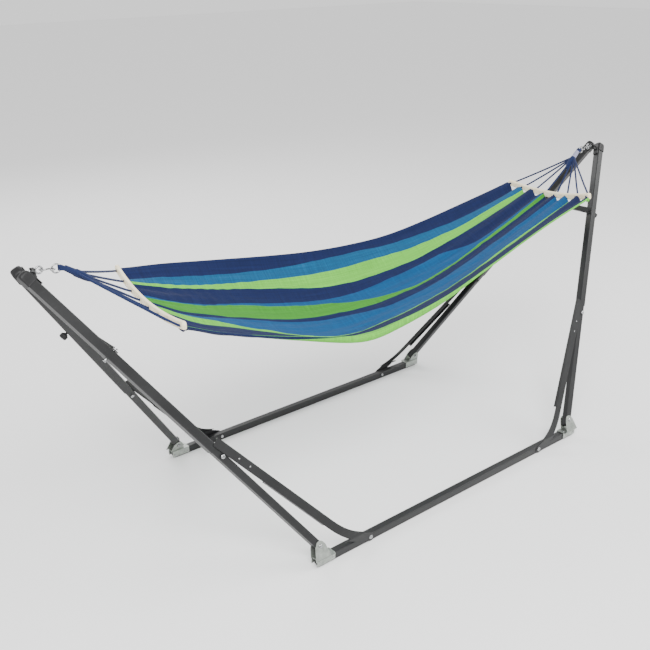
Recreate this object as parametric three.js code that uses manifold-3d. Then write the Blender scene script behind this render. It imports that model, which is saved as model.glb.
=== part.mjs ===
// Hammock on a folding steel stand. Millimetres, +Z up, length along X.
// The origin is on the ground under the middle of the stand. -Y is the front half, -X the left end.
import * as THREE from 'three';
import { mergeVertices } from 'three/addons/utils/BufferGeometryUtils.js';
import Module from 'manifold-3d';

const wasm = await Module();
wasm.setup();

// Driving dimensions
const pinSpan = 1368; // between the two corner pins of one rail
const railSpacing = 980; // between the middles of the two rails
const apexSpan = 2850; // between the tops of the legs at the two ends
const apexHeight = 1113; // height of the closing axis
const apexOffset = 22; // each leg top stands this far from the closing axis
const footHeight = 42; // where a leg's centre line meets the line of its rail
const railSize = 30;
const upperSize = 32;
const lowerSize = 28;
const wall = 1.5;
const gap = 0.3;
const boltRadius = 4;
const holeRadius = 4.3;

const railOverhang = 26; // rail end beyond the corner pin
const lowerStart = 14; // lower leg's end above the foot point, along the leg
const pinAlong = 34; // corner pin above the foot point, along the leg
const midAlong = 570; // lower end of the upper leg, along the leg
const overlap = 60; // the lower leg runs this far up inside the upper leg
const midBoltAlong = 532;
const capDepth = 34; // the top cap reaches this far down the tube
const capWall = 1.4;

const braceWidth = 32;
const braceSheet = 2.4;
const braceFlange = 12;
const braceBoltX = 480;
const braceBoltZ = 18;
const braceBendX = 590;
const braceBendZ = 62;
const braceTopAlong = 590; // brace's upper end, along the leg
const braceFoldZ = 48; // above this height the brace lies in the tilted plane of the legs

const spreaderAlong = 0.746; // share of the leg from the foot to the spreader bolts
const spreaderWidth = 28;
const spreaderSheet = 3;
const spreaderRise = 20; // spreader's underside above the middle of the leg
const studHeadRise = 27;
const knobRadius = 13.5;

const barLength = 620;
const barWidth = 28;
const barThickness = 16;
const bars = {
  left: { side: -1, x: -1014, z: 949, yaw: 8, tilt: 1.5, bowOut: 10, bowDown: 30 },
  right: { side: 1, x: 1074, z: 958, yaw: 16, tilt: -6, bowOut: 25, bowDown: 31 },
};
const cordCount = 8;
const cordRadius = 4;
const clubLength = 62;
const clubRadius = 11.5;

// The bed's two long edges and its lowest line, as height over length
const bedHalfWidth = 292;
const bedThickness = 6;
const nearEdge = [[-1034, 921], [-870, 857], [-614, 777], [-314, 700], [-108, 712], [118, 748],
  [357, 814], [606, 888], [784, 936], [966, 975]];
const bedMiddle = [[-985, 893], [-850, 828], [-640, 755], [-430, 692], [-215, 655], [0, 655],
  [250, 680], [470, 722], [690, 782], [890, 850], [1052, 906]];
const farEdge = [[-946, 943], [-800, 930], [-598, 900], [-307, 856], [-100, 830], [120, 815],
  [330, 814], [560, 836], [849, 876], [1120, 914]];

// Colours
const darkPaint = { color: 0x3a3c3e, roughness: 0.45, metalness: 0.5 };
const zincPlate = { color: 0xb9beb8, roughness: 0.4, metalness: 0.9 };
const brightSteel = { color: 0xd2d4d6, roughness: 0.25, metalness: 1.0 };
const blackPlastic = { color: 0x17181a, roughness: 0.55, metalness: 0.0 };
const paleWood = { color: 0xe2cfa6, roughness: 0.6, metalness: 0.0 };
const navyCotton = { color: 0x26356b, roughness: 0.95, metalness: 0.0 };
const stripedCotton = { color: 0x3573ad, roughness: 0.95, metalness: 0.0 };

const hammockOnStand = new THREE.Group();
const halfApex = apexSpan / 2;
const halfPin = pinSpan / 2;
const halfSpacing = railSpacing / 2;
const ends = [['left', -1], ['right', 1]];
const halves = [['front', -1], ['rear', 1]];

function vec(x, y, z) {
  return new THREE.Vector3(x, y, z);
}

function addMesh(name, geometry, finish) {
  const mesh = new THREE.Mesh(geometry, new THREE.MeshStandardMaterial(finish));
  mesh.name = name;
  hammockOnStand.add(mesh);
}

// Boolean work

function toSolid(geometry) {
  const plain = geometry.clone();
  plain.deleteAttribute('normal');
  plain.deleteAttribute('uv');
  const merged = mergeVertices(plain, 1e-4);
  const mesh = new wasm.Mesh({
    numProp: 3,
    vertProperties: new Float32Array(merged.attributes.position.array),
    triVerts: new Uint32Array(merged.index.array),
  });
  return new wasm.Manifold(mesh);
}

function toGeometry(solid) {
  const mesh = solid.getMesh();
  const geometry = new THREE.BufferGeometry();
  geometry.setAttribute('position', new THREE.BufferAttribute(mesh.vertProperties, 3));
  geometry.setIndex(new THREE.BufferAttribute(mesh.triVerts, 1));
  geometry.computeVertexNormals();
  return geometry;
}

function combine(first, joined, cut) {
  let solid = toSolid(first);
  for (const piece of joined) {
    solid = solid.add(toSolid(piece));
  }
  for (const piece of cut) {
    solid = solid.subtract(toSolid(piece));
  }
  return toGeometry(solid);
}

function trim(geometry, keep) {
  return toGeometry(toSolid(geometry).intersect(toSolid(keep)));
}

// Shapes

function box(lowX, highX, lowY, highY, lowZ, highZ) {
  const geometry = new THREE.BoxGeometry(highX - lowX, highY - lowY, highZ - lowZ);
  return geometry.translate((lowX + highX) / 2, (lowY + highY) / 2, (lowZ + highZ) / 2);
}

function roundedSquare(size, radius) {
  const h = size / 2;
  const shape = new THREE.Shape();
  shape.moveTo(h - radius, -h);
  shape.absarc(h - radius, -h + radius, radius, -Math.PI / 2, 0);
  shape.absarc(h - radius, h - radius, radius, 0, Math.PI / 2);
  shape.absarc(-h + radius, h - radius, radius, Math.PI / 2, Math.PI);
  shape.absarc(-h + radius, -h + radius, radius, Math.PI, 1.5 * Math.PI);
  shape.closePath();
  return shape;
}

function squareTube(size, length) {
  const shape = roundedSquare(size, 4);
  shape.holes.push(roundedSquare(size - 2 * wall, 4 - wall));
  return new THREE.ExtrudeGeometry(shape, { depth: length, bevelEnabled: false, curveSegments: 2 });
}

function squareBlock(size, radius, length) {
  const shape = roundedSquare(size, radius);
  return new THREE.ExtrudeGeometry(shape, { depth: length, bevelEnabled: false, curveSegments: 2 });
}

// A cylinder from one point to another
function rod(from, to, radius, sides = 12, endRadius = radius) {
  const along = to.clone().sub(from);
  const geometry = new THREE.CylinderGeometry(endRadius, radius, along.length(), sides);
  geometry.translate(0, along.length() / 2, 0);
  const turn = new THREE.Quaternion().setFromUnitVectors(vec(0, 1, 0), along.normalize());
  return geometry.applyQuaternion(turn).translate(from.x, from.y, from.z);
}

// A round bolt turned about its own axis, with a domed head, a shank and a nut
function bolt(origin, axis, inner, outer, headRadius = 7.5) {
  const profile = [
    [0, inner - 6],
    [6.5, inner - 6],
    [6.5, inner],
    [boltRadius, inner],
    [boltRadius, outer],
    [headRadius, outer],
    [headRadius * 0.75, outer + 3.4],
    [0, outer + 5],
  ];
  const geometry = new THREE.LatheGeometry(profile.map(([r, h]) => new THREE.Vector2(r, h)), 10);
  const turn = new THREE.Quaternion().setFromUnitVectors(vec(0, 1, 0), axis);
  return geometry.applyQuaternion(turn).translate(origin.x, origin.y, origin.z);
}

function wire(points, radius, steps, closed = false) {
  const route = new THREE.CatmullRomCurve3(points, closed, 'centripetal');
  const section = new THREE.Shape();
  section.absarc(0, 0, radius, 0, 2 * Math.PI);
  const options = { steps, curveSegments: 6, bevelEnabled: false, extrudePath: route };
  return new THREE.ExtrudeGeometry(section, options);
}

// Where a leg runs, and its own directions

function legFrame(endSide, halfSide) {
  const foot = vec(endSide * halfPin, halfSide * halfSpacing, footHeight);
  const top = vec(endSide * halfApex, halfSide * apexOffset, apexHeight);
  const along = top.clone().sub(foot);
  const length = along.length();
  along.normalize();
  const outward = vec(1, 0, 0).cross(along).normalize();
  if (outward.y * halfSide < 0) {
    outward.negate();
  }
  const across = along.clone().cross(outward);
  const turn = new THREE.Matrix4().makeBasis(outward, across, along).setPosition(foot);
  return { foot, top, along, outward, across, length, turn };
}

function onLeg(leg, distance, out = 0) {
  return leg.foot.clone().addScaledVector(leg.along, distance).addScaledVector(leg.outward, out);
}

function inLegFrame(leg, geometry, distance) {
  return geometry.translate(0, 0, distance).applyMatrix4(leg.turn);
}

// Spreader bolts stand square to the plane of each end's two legs
const endNormals = {
  left: vec(apexHeight - footHeight, 0, halfApex - halfPin).normalize(),
  right: vec(footHeight - apexHeight, 0, halfApex - halfPin).normalize(),
};

function hingeHole(origin, axis, reach) {
  const from = origin.clone().addScaledVector(axis, -reach);
  const to = origin.clone().addScaledVector(axis, reach);
  return rod(from, to, holeRadius, 10);
}

// Rails with their end caps

function buildRail(halfName, halfSide) {
  const end = halfPin + railOverhang;
  const middle = vec(0, halfSide * halfSpacing, railSize / 2);
  const tube = squareTube(railSize, 2 * end).translate(0, 0, -end).rotateY(Math.PI / 2);
  tube.translate(middle.x, middle.y, middle.z);
  const holes = ends.map(([, endSide]) => {
    return hingeHole(vec(endSide * braceBoltX, middle.y, braceBoltZ), vec(0, 1, 0), railSize);
  });
  addMesh(`${halfName}_rail`, combine(tube, [], holes), darkPaint);
  for (const [endName, endSide] of ends) {
    const plug = squareBlock(railSize - 2 * wall - 2 * gap, 2, 22);
    const face = squareBlock(railSize, 4, 6).translate(0, 0, 22 - gap);
    const cap = combine(plug, [face], []).rotateY(endSide * Math.PI / 2);
    cap.translate(endSide * (end - 22 + 2 * gap), middle.y, middle.z);
    addMesh(`rail_cap_${halfName}_${endName}`, cap, blackPlastic);
  }
}

// Corner bracket: a saddle over the rail with two ears that hold the foot of the leg

function buildCorner(halfName, halfSide, endName, endSide) {
  const leg = legFrame(endSide, halfSide);
  const middleX = endSide * (halfPin + 4);
  const sheet = 2.5;
  const half = railSize / 2 + gap;
  const saddle = box(-40, 40, -half - sheet, half + sheet, 6, railSize + gap + sheet);
  const channel = box(-50, 50, -half, half, 0, railSize + gap);
  saddle.translate(middleX, halfSide * halfSpacing, 0);
  channel.translate(middleX, halfSide * halfSpacing, 0);
  const earGap = lowerSize / 2 + 2 * gap;
  const ears = [-earGap - sheet, earGap].map((low) => {
    const outline = new THREE.Shape();
    outline.moveTo(-36, -24);
    outline.lineTo(36, -24);
    outline.lineTo(22, 30);
    outline.absarc(0, 30, 19, 0.4, Math.PI - 0.4);
    outline.lineTo(-22, 30);
    outline.closePath();
    const ear = plate(outline, sheet);
    const tiltUp = vec(1, 0, 0).cross(leg.outward).multiplyScalar(-1);
    if (tiltUp.z < 0) {
      tiltUp.negate();
    }
    const along = tiltUp.clone().cross(leg.outward);
    const pin = onLeg(leg, pinAlong);
    const base = pin.addScaledVector(leg.outward, low).addScaledVector(tiltUp, -30);
    return ear.applyMatrix4(new THREE.Matrix4().makeBasis(along, tiltUp, leg.outward).setPosition(base));
  });
  const overRail = box(-60, 60, -60, 60, railSize + gap, 120).translate(middleX, halfSide * halfSpacing, 0);
  const raised = ears.map((ear) => trim(ear, overRail));
  const outer = halfSide * (half + sheet + 7);
  const topFace = railSize + gap;
  const wideTop = box(-36, 36, Math.min(outer, 0), Math.max(outer, 0), topFace, topFace + sheet);
  wideTop.translate(middleX, halfSide * halfSpacing, 0);
  const pinHole = hingeHole(onLeg(leg, pinAlong), leg.outward, 40);
  const bracket = combine(saddle, [...raised, wideTop], [channel, pinHole]);
  addMesh(`corner_bracket_${halfName}_${endName}`, bracket, zincPlate);
  const reach = earGap + sheet + gap;
  const pin = bolt(onLeg(leg, pinAlong), leg.outward, -reach, reach);
  addMesh(`corner_pin_${halfName}_${endName}`, pin, brightSteel);
}

// Legs: a lower tube that runs up inside an upper tube

function buildLeg(halfName, halfSide, endName, endSide) {
  const leg = legFrame(endSide, halfSide);
  const lowerLength = midAlong + overlap - lowerStart;
  const lower = inLegFrame(leg, squareTube(lowerSize, lowerLength), lowerStart);
  const pinHole = hingeHole(onLeg(leg, pinAlong), leg.outward, 30);
  const midHole = hingeHole(onLeg(leg, midBoltAlong), leg.outward, 30);
  addMesh(`lower_leg_${halfName}_${endName}`, combine(lower, [], [pinHole, midHole]), darkPaint);

  const upper = inLegFrame(leg, squareTube(upperSize, leg.length - midAlong), midAlong);
  const spreaderHole = hingeHole(onLeg(leg, leg.length * spreaderAlong), endNormals[endName], 40);
  addMesh(`upper_leg_${halfName}_${endName}`, combine(upper, [], [spreaderHole]), darkPaint);

  const capSize = upperSize + 2 * (gap + capWall);
  const sleeve = squareBlock(capSize, 5, capDepth + 2);
  const bore = squareBlock(upperSize + 2 * gap, 4, capDepth).translate(0, 0, -gap);
  const dome = new THREE.CylinderGeometry(11, 16.5, 6, 14).rotateX(Math.PI / 2);
  dome.translate(0, 0, capDepth + 5 - gap);
  const cap = inLegFrame(leg, combine(sleeve, [dome], [bore]), leg.length - capDepth + 2 * gap);
  addMesh(`top_cap_${halfName}_${endName}`, cap, blackPlastic);

  const web = upperSize / 2 + 2 * gap;
  const reach = web + braceSheet + gap;
  const midBolt = bolt(onLeg(leg, midBoltAlong), leg.outward, -lowerSize / 2 - gap, reach);
  addMesh(`leg_bolt_${halfName}_${endName}`, midBolt, brightSteel);
}

// Braces: a channel beside the leg whose flattened foot is bolted to the rail's outer face

function strip(points, width, roundEnd) {
  const left = [];
  const right = [];
  for (let i = 0; i < points.length; i += 1) {
    const before = points[Math.max(i - 1, 0)];
    const after = points[Math.min(i + 1, points.length - 1)];
    const direction = after.clone().sub(before).normalize();
    const side = new THREE.Vector2(-direction.y, direction.x).multiplyScalar(width / 2);
    left.push(points[i].clone().add(side));
    right.unshift(points[i].clone().sub(side));
  }
  const outline = new THREE.Shape(left);
  if (roundEnd) {
    const tip = points[points.length - 1];
    const angle = Math.atan2(left[left.length - 1].y - tip.y, left[left.length - 1].x - tip.x);
    outline.absarc(tip.x, tip.y, width / 2, angle, angle - Math.PI, true);
  }
  right.forEach((point) => outline.lineTo(point.x, point.y));
  outline.closePath();
  return outline;
}

function plate(outline, thickness) {
  return new THREE.ExtrudeGeometry(outline, { depth: thickness, bevelEnabled: false, curveSegments: 8 });
}

function buildBrace(halfName, halfSide, endName, endSide) {
  const leg = legFrame(endSide, halfSide);
  const lean = Math.acos(leg.outward.y * halfSide);
  const slope = Math.cos(lean);
  const web = upperSize / 2 + 2 * gap;
  // In the plane of the legs, u runs along X and v up the slope, both from the foot point
  const toPlane = (x, z) => new THREE.Vector2(endSide * x - leg.foot.x, (z - footHeight) / slope);
  const topPoint = onLeg(leg, braceTopAlong);
  const startUp = (topPoint.z - footHeight) / slope + 6;
  const start = new THREE.Vector2(topPoint.x - leg.foot.x - endSide * 20, startUp);
  const bend = toPlane(braceBendX, braceBendZ);
  const end = toPlane(braceBoltX, braceBoltZ);
  const bendFrom = bend.clone().lerp(start, 0.12);
  const curve = new THREE.QuadraticBezierCurve(bendFrom, bend, bend.clone().lerp(end, 0.5));
  const centre = [start, ...curve.getPoints(5), end];
  const upSlope = vec(0, -halfSide * Math.sin(lean), Math.cos(lean));
  const tilted = new THREE.Matrix4().makeBasis(vec(1, 0, 0), upSlope, leg.outward);
  if (tilted.determinant() < 0) {
    tilted.makeBasis(vec(1, 0, 0), upSlope, leg.outward.clone().negate());
  }
  const facing = leg.outward.dot(vec(tilted.elements[8], tilted.elements[9], tilted.elements[10]));
  const inside = facing > 0 ? web : -web - braceSheet;
  tilted.setPosition(leg.foot);

  const webPlate = plate(strip(centre, braceWidth, true), braceSheet).translate(0, 0, inside);
  const straight = [start, bend.clone().lerp(start, 0.16)];
  const direction = straight[1].clone().sub(straight[0]).normalize();
  const side = new THREE.Vector2(-direction.y, direction.x);
  const inboard = side.x * endSide < 0 ? 1 : -1;
  const flangeLow = facing > 0 ? web - braceFlange : -web;
  const flanges = [inboard, -inboard].map((sign) => {
    const offset = side.clone().multiplyScalar(sign * (braceWidth - braceSheet) / 2);
    const clear = sign === inboard ? 0 : 230;
    const from = straight[0].clone().addScaledVector(direction, clear).add(offset);
    const to = straight[1].clone().add(offset);
    const rib = plate(strip([from, to], braceSheet, false), braceFlange + 0.1);
    return rib.translate(0, 0, facing > 0 ? flangeLow : flangeLow - 0.1);
  });
  const channel = combine(webPlate, flanges, []).applyMatrix4(tilted);
  const above = box(-1300, 1300, -200, 200, braceFoldZ, 900).translate(0, halfSide * 400, 0);
  const raised = trim(channel, above);

  // The flattened foot stands upright against the rail
  const flatPoints = centre.map((p) => new THREE.Vector2(p.x + leg.foot.x, p.y * slope + footHeight));
  const foot = plate(strip(flatPoints, braceWidth, true), braceSheet).rotateX(Math.PI / 2);
  const railFace = halfSide * (halfSpacing + railSize / 2 + gap);
  foot.translate(0, halfSide > 0 ? railFace + braceSheet : railFace, 0);
  const below = box(-1300, 1300, -600, 600, -20, braceFoldZ + 2);
  const flat = trim(foot, below);
  const webAtFold = leg.foot.y + upSlope.y * (braceFoldZ - footHeight) / slope
    + leg.outward.y * (web + braceSheet / 2);
  const xs = endSide < 0 ? [-590 - 14, -590 + 34] : [590 - 34, 590 + 14];
  const low = Math.min(webAtFold, railFace) - 1.2;
  const high = Math.max(webAtFold, railFace + halfSide * braceSheet) + 1.2;
  const knuckle = box(xs[0], xs[1], low, high, braceFoldZ - 1.5, braceFoldZ + 1.5);
  const boltAt = vec(endSide * braceBoltX, halfSide * halfSpacing, braceBoltZ);
  const railHole = hingeHole(boltAt, vec(0, 1, 0), 40);
  const midHole = hingeHole(onLeg(leg, midBoltAlong), leg.outward, 40);
  const brace = combine(raised, [flat, knuckle], [railHole, midHole]);
  addMesh(`brace_${halfName}_${endName}`, brace, darkPaint);

  const grip = railSize / 2 + gap;
  const railBolt = bolt(boltAt, vec(0, halfSide, 0), -grip, grip + braceSheet + gap, 8.5);
  addMesh(`brace_bolt_${halfName}_${endName}`, railBolt, brightSteel);
}

// Apex: two hinge plates on one eye bolt, which is the axis that the halves close about

function buildApex(endName, endSide) {
  const axisPoint = vec(0, 0, apexHeight);
  halves.forEach(([halfName, halfSide], index) => {
    const leg = legFrame(endSide, halfSide);
    const inward = leg.across.clone();
    if (inward.x * endSide > 0) {
      inward.negate();
    }
    const faceX = halfApex - 34 - index * 4.6;
    const lug = new THREE.Shape();
    lug.moveTo(0, -12);
    lug.lineTo(halfSide * 27, -14);
    lug.lineTo(halfSide * 27, 4);
    lug.lineTo(0, 12);
    lug.absarc(0, 0, 12, Math.PI / 2, -Math.PI / 2, halfSide < 0);
    lug.closePath();
    const plateShape = plate(lug, 4);
    const turn = new THREE.Matrix4().makeBasis(vec(0, 1, 0), vec(0, 0, 1), vec(1, 0, 0));
    plateShape.applyMatrix4(turn);
    const tabX = endSide > 0 ? faceX - 4 : -faceX;
    plateShape.translate(tabX, 0, apexHeight);
    const pad = box(-13, 13, -1.5, 1.5, -52, -2);
    const padMatrix = new THREE.Matrix4().makeBasis(leg.outward, leg.across, leg.along).setPosition(leg.top);
    const towards = leg.across.dot(inward);
    pad.translate(0, towards * (upperSize / 2 + capWall + 2 * gap + 2), -2);
    pad.applyMatrix4(padMatrix);
    const armFrom = leg.top.clone().addScaledVector(leg.along, -30);
    armFrom.addScaledVector(inward, upperSize / 2 + capWall + 2 * gap + 5.4);
    const armTo = vec(endSide * (faceX - 2), halfSide * 20, apexHeight - 4);
    const arm = rod(armFrom, armTo, 5, 10);
    const hole = hingeHole(axisPoint.clone().setX(endSide * faceX), vec(1, 0, 0), 12);
    addMesh(`apex_hinge_${halfName}_${endName}`, combine(plateShape, [pad, arm], [hole]), darkPaint);
  });

  const nutEnd = endSide * (halfApex - 22);
  const nutFace = endSide * (halfApex - 33);
  const collarFace = endSide * (halfApex - 43.4);
  const collarEnd = endSide * (halfApex - 47);
  const eyeX = endSide * (halfApex - 58);
  const at = (x) => vec(x, 0, apexHeight);
  const eye = new THREE.TorusGeometry(11, 3, 6, 18).rotateX(Math.PI / 2).translate(eyeX, 0, apexHeight);
  const pieces = [
    rod(at(nutEnd), at(nutFace), 6.5, 6),
    rod(at(collarFace), at(collarEnd), 7, 16),
    eye,
  ];
  const shank = rod(at(nutEnd + endSide), at(collarEnd), boltRadius, 12);
  addMesh(`eye_bolt_${endName}`, combine(shank, pieces, []), brightSteel);
}

// S hook through the eye, and the ring that gathers the cords

function buildHanger(endName, endSide) {
  const eyeWire = halfApex - 69;
  const drop = -7;
  const spots = [
    [eyeWire - 5, -6.5, 0],
    [eyeWire + 3, -8, 0],
    [eyeWire + 8.5, -1, 0],
    [eyeWire + 4, 7, -1],
    [eyeWire - 8, 4, -2],
    [eyeWire - 18, -3, -4],
    [eyeWire - 29, -8, drop],
    [eyeWire - 37.5, -1, drop],
    [eyeWire - 33, 7.5, drop],
    [eyeWire - 20, 11, drop + 2],
  ];
  const points = spots.map(([x, y, z]) => vec(endSide * x, endSide * y, apexHeight + z));
  addMesh(`s_hook_${endName}`, wire(points, 2.6, 30), brightSteel);
  const ring = new THREE.TorusGeometry(14, 2.6, 6, 20).rotateX(Math.PI / 2);
  ring.translate(endSide * (eyeWire - 29 - 14), 0, apexHeight + drop);
  addMesh(`ring_${endName}`, ring, brightSteel);
}

// Spreader at each end: pivots on the knob's bolt at one leg and hooks over a stud on the other

function buildSpreader(endName, endSide) {
  const pivotSide = -endSide;
  const pivotLeg = legFrame(endSide, pivotSide);
  const hookLeg = legFrame(endSide, -pivotSide);
  const normal = endNormals[endName];
  const pivot = onLeg(pivotLeg, pivotLeg.length * spreaderAlong);
  const hook = onLeg(hookLeg, hookLeg.length * spreaderAlong);
  const span = hook.distanceTo(pivot);
  const along = hook.clone().sub(pivot).normalize();
  const up = normal.clone().cross(along);
  const upSign = up.z > 0 ? 1 : -1;
  const turn = new THREE.Matrix4().makeBasis(along, up, normal).setPosition(pivot);

  const outline = new THREE.Shape();
  const half = spreaderWidth / 2;
  outline.absarc(0, 0, half, Math.PI / 2, 1.5 * Math.PI);
  outline.lineTo(span, -half);
  outline.absarc(span, 0, half, -Math.PI / 2, Math.PI / 2);
  outline.closePath();
  const flat = plate(outline, spreaderSheet).translate(0, 0, spreaderRise);
  const lip = box(34, span - 34, -1.5, 1.5, spreaderRise, spreaderRise + 12);
  lip.translate(0, -upSign * (half - 1.5), 0);
  const pivotHole = new THREE.CylinderGeometry(holeRadius, holeRadius, 40, 12).rotateX(Math.PI / 2);
  pivotHole.translate(0, 0, spreaderRise);
  const seat = pivotHole.clone().scale(1.07, 1.07, 1).translate(span, 0, 0);
  const slotHalf = holeRadius * 1.07 + 0.6;
  const slot = box(-slotHalf, slotHalf, 0, 30, spreaderRise - 5, spreaderRise + 8);
  slot.rotateZ(0.38);
  if (upSign < 0) {
    slot.scale(1, -1, 1);
    slot.index.array.reverse();
  }
  slot.translate(span, 0, 0);
  const bar = combine(flat, [lip], [pivotHole, seat, slot]).applyMatrix4(turn);
  addMesh(`spreader_${endName}`, bar, darkPaint);

  const from = (origin, rise) => origin.clone().addScaledVector(normal, rise);
  const knob = combine(
    rod(from(pivot, -32), from(pivot, spreaderRise + spreaderSheet + 1), boltRadius, 12),
    [
      rod(from(pivot, spreaderRise + spreaderSheet + gap), from(pivot, studHeadRise + 1), 7, 12),
      rod(from(pivot, -26), from(pivot, -21), 8, 12),
      rod(from(pivot, -40), from(pivot, -24), knobRadius - 1, 12, knobRadius),
    ],
    [],
  );
  const lobes = [];
  for (let i = 0; i < 6; i += 1) {
    const angle = (i * Math.PI) / 3;
    const spot = along.clone().multiplyScalar(Math.cos(angle)).addScaledVector(up, Math.sin(angle));
    spot.multiplyScalar(knobRadius + 2.5);
    lobes.push(rod(from(pivot, -44).add(spot), from(pivot, -20).add(spot), 4.5, 12));
  }
  addMesh(`knob_${endName}`, combine(knob, [], lobes), blackPlastic);

  const stud = combine(
    rod(from(hook, -25), from(hook, studHeadRise + 1), boltRadius, 12),
    [
      rod(from(hook, studHeadRise), from(hook, studHeadRise + 3), 8, 16),
      rod(from(hook, -26), from(hook, -21), 6.5, 6),
    ],
    [],
  );
  addMesh(`spreader_stud_${endName}`, stud, brightSteel);
}

// Wooden bars, bowed down and out

function barPoint(bar, t) {
  const yaw = THREE.MathUtils.degToRad(bar.yaw);
  const tilt = THREE.MathUtils.degToRad(bar.tilt);
  const direction = vec(Math.sin(yaw) * Math.cos(tilt), Math.cos(yaw) * Math.cos(tilt), Math.sin(tilt));
  const bow = 1 - t * t;
  const point = vec(bar.x, 0, bar.z).addScaledVector(direction, (t * barLength) / 2);
  return point.add(vec(bar.side * bar.bowOut * bow, 0, -bar.bowDown * bow));
}

function mapBox(geometry, place) {
  const plain = geometry.clone();
  plain.deleteAttribute('normal');
  plain.deleteAttribute('uv');
  const merged = mergeVertices(plain, 1e-5);
  const position = merged.attributes.position;
  for (let i = 0; i < position.count; i += 1) {
    const spot = place(position.getX(i), position.getY(i), position.getZ(i));
    position.setXYZ(i, spot.x, spot.y, spot.z);
  }
  merged.computeVertexNormals();
  return merged;
}

function buildBar(endName) {
  const bar = bars[endName];
  const blank = new THREE.BoxGeometry(barThickness, 2, barWidth, 1, 16, 1);
  const place = (x, y, z) => barPoint(bar, y).add(vec(x, 0, z));
  addMesh(`wooden_bar_${endName}`, mapBox(blank, place), paleWood);
}

function buildCords(endName, endSide) {
  const bar = bars[endName];
  const start = vec(endSide * (halfApex - 69 - 29 - 28 - 7), 0, apexHeight - 7);
  const aim = barPoint(bar, 0).sub(start).normalize();
  const clubEnd = start.clone().addScaledVector(aim, clubLength);
  const club = rod(start, clubEnd, clubRadius * 0.75, 12, clubRadius);
  const cords = [];
  for (let i = 0; i < cordCount; i += 1) {
    const t = -0.92 + (1.84 * i) / (cordCount - 1);
    const hole = barPoint(bar, t).add(vec(endSide * (barThickness / 2 + 5), 0, 0));
    const from = start.clone().addScaledVector(aim, clubLength * 0.75).add(vec(0, t * 6, 0));
    cords.push(rod(from, hole, cordRadius, 8));
  }
  addMesh(`cords_${endName}`, combine(club, cords, []), navyCotton);
}

// The bed: a cloth trough between the bars, through three long lines

function buildBed() {
  const lines = [nearEdge, bedMiddle, farEdge].map((points, index) => {
    const y = (index - 1) * bedHalfWidth;
    return new THREE.CatmullRomCurve3(points.map(([x, z]) => vec(x, y, z)), false, 'centripetal');
  });
  const place = (x, y, z) => {
    const [near, middle, far] = lines.map((line) => line.getPoint(x + 0.5));
    const u = y + 0.5;
    const point = near.multiplyScalar((1 - u) * (1 - 2 * u));
    point.addScaledVector(middle, 4 * u * (1 - u)).addScaledVector(far, u * (2 * u - 1));
    return point.add(vec(0, 0, z * bedThickness));
  };
  addMesh('bed', mapBox(new THREE.BoxGeometry(1, 1, 1, 28, 10, 1), place), stripedCotton);
}

for (const [halfName, halfSide] of halves) {
  buildRail(halfName, halfSide);
  for (const [endName, endSide] of ends) {
    buildCorner(halfName, halfSide, endName, endSide);
    buildLeg(halfName, halfSide, endName, endSide);
    buildBrace(halfName, halfSide, endName, endSide);
  }
}
for (const [endName, endSide] of ends) {
  buildApex(endName, endSide);
  buildSpreader(endName, endSide);
  buildHanger(endName, endSide);
  buildBar(endName);
  buildCords(endName, endSide);
}
buildBed();

export default hammockOnStand;
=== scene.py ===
import bpy
import bmesh
from math import atan2, cos, exp, pi, radians, sin, sqrt
from mathutils import Matrix, Vector, noise


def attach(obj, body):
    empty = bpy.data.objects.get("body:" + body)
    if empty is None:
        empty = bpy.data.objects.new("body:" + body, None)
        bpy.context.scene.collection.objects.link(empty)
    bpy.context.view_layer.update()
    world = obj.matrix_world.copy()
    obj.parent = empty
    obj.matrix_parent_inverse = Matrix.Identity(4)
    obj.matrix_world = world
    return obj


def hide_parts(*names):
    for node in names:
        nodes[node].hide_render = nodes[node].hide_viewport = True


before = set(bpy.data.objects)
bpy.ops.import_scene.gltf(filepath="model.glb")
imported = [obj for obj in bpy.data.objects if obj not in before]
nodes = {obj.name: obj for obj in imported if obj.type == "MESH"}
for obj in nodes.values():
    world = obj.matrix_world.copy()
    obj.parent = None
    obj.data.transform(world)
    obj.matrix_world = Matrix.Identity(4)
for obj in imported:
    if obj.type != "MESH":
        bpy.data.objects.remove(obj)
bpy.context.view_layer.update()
scene = bpy.context.scene
print("frame loaded,", len(nodes), "nodes")

# camera, a little above eye height off the left front corner
cameraView = {"place": (-2.3132, -2.5333, 1.9649), "yaw": 51.057, "down": 22.202, "roll": -1.018, "lens": 49.75}


def addCamera(view):
    yaw, down, roll = radians(view["yaw"]), radians(view["down"]), radians(view["roll"])
    ahead = Vector((cos(yaw) * cos(down), sin(yaw) * cos(down), -sin(down)))
    right = Vector((sin(yaw), -cos(yaw), 0))
    up = right.cross(ahead)
    rightRolled = right * cos(roll) + up * sin(roll)
    upRolled = up * cos(roll) - right * sin(roll)
    data = bpy.data.cameras.new("camera")
    data.lens = view["lens"]
    data.sensor_width = 36
    data.clip_end = 50
    camera = bpy.data.objects.new("camera", data)
    turn = Matrix((rightRolled, upRolled, -ahead)).transposed().to_4x4()
    camera.matrix_world = Matrix.Translation(view["place"]) @ turn
    scene.collection.objects.link(camera)
    scene.camera = camera


addCamera(cameraView)

# node groups shared by the finishes


def addNode(tree, kind, place, **values):
    node = tree.nodes.new(kind)
    node.location = place
    for key, value in values.items():
        if key in node.inputs:
            node.inputs[key].default_value = value
        else:
            setattr(node, key, value)
    return node


def rampColours(ramp, stops, interpolation="LINEAR"):
    ramp.color_ramp.interpolation = interpolation
    elements = ramp.color_ramp.elements
    while len(elements) < len(stops):
        elements.new(1.0)
    for element, (position, colour) in zip(elements, stops):
        element.position = position
        element.color = (*colour, 1) if len(colour) == 3 else (colour[0], colour[0], colour[0], 1)


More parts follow.
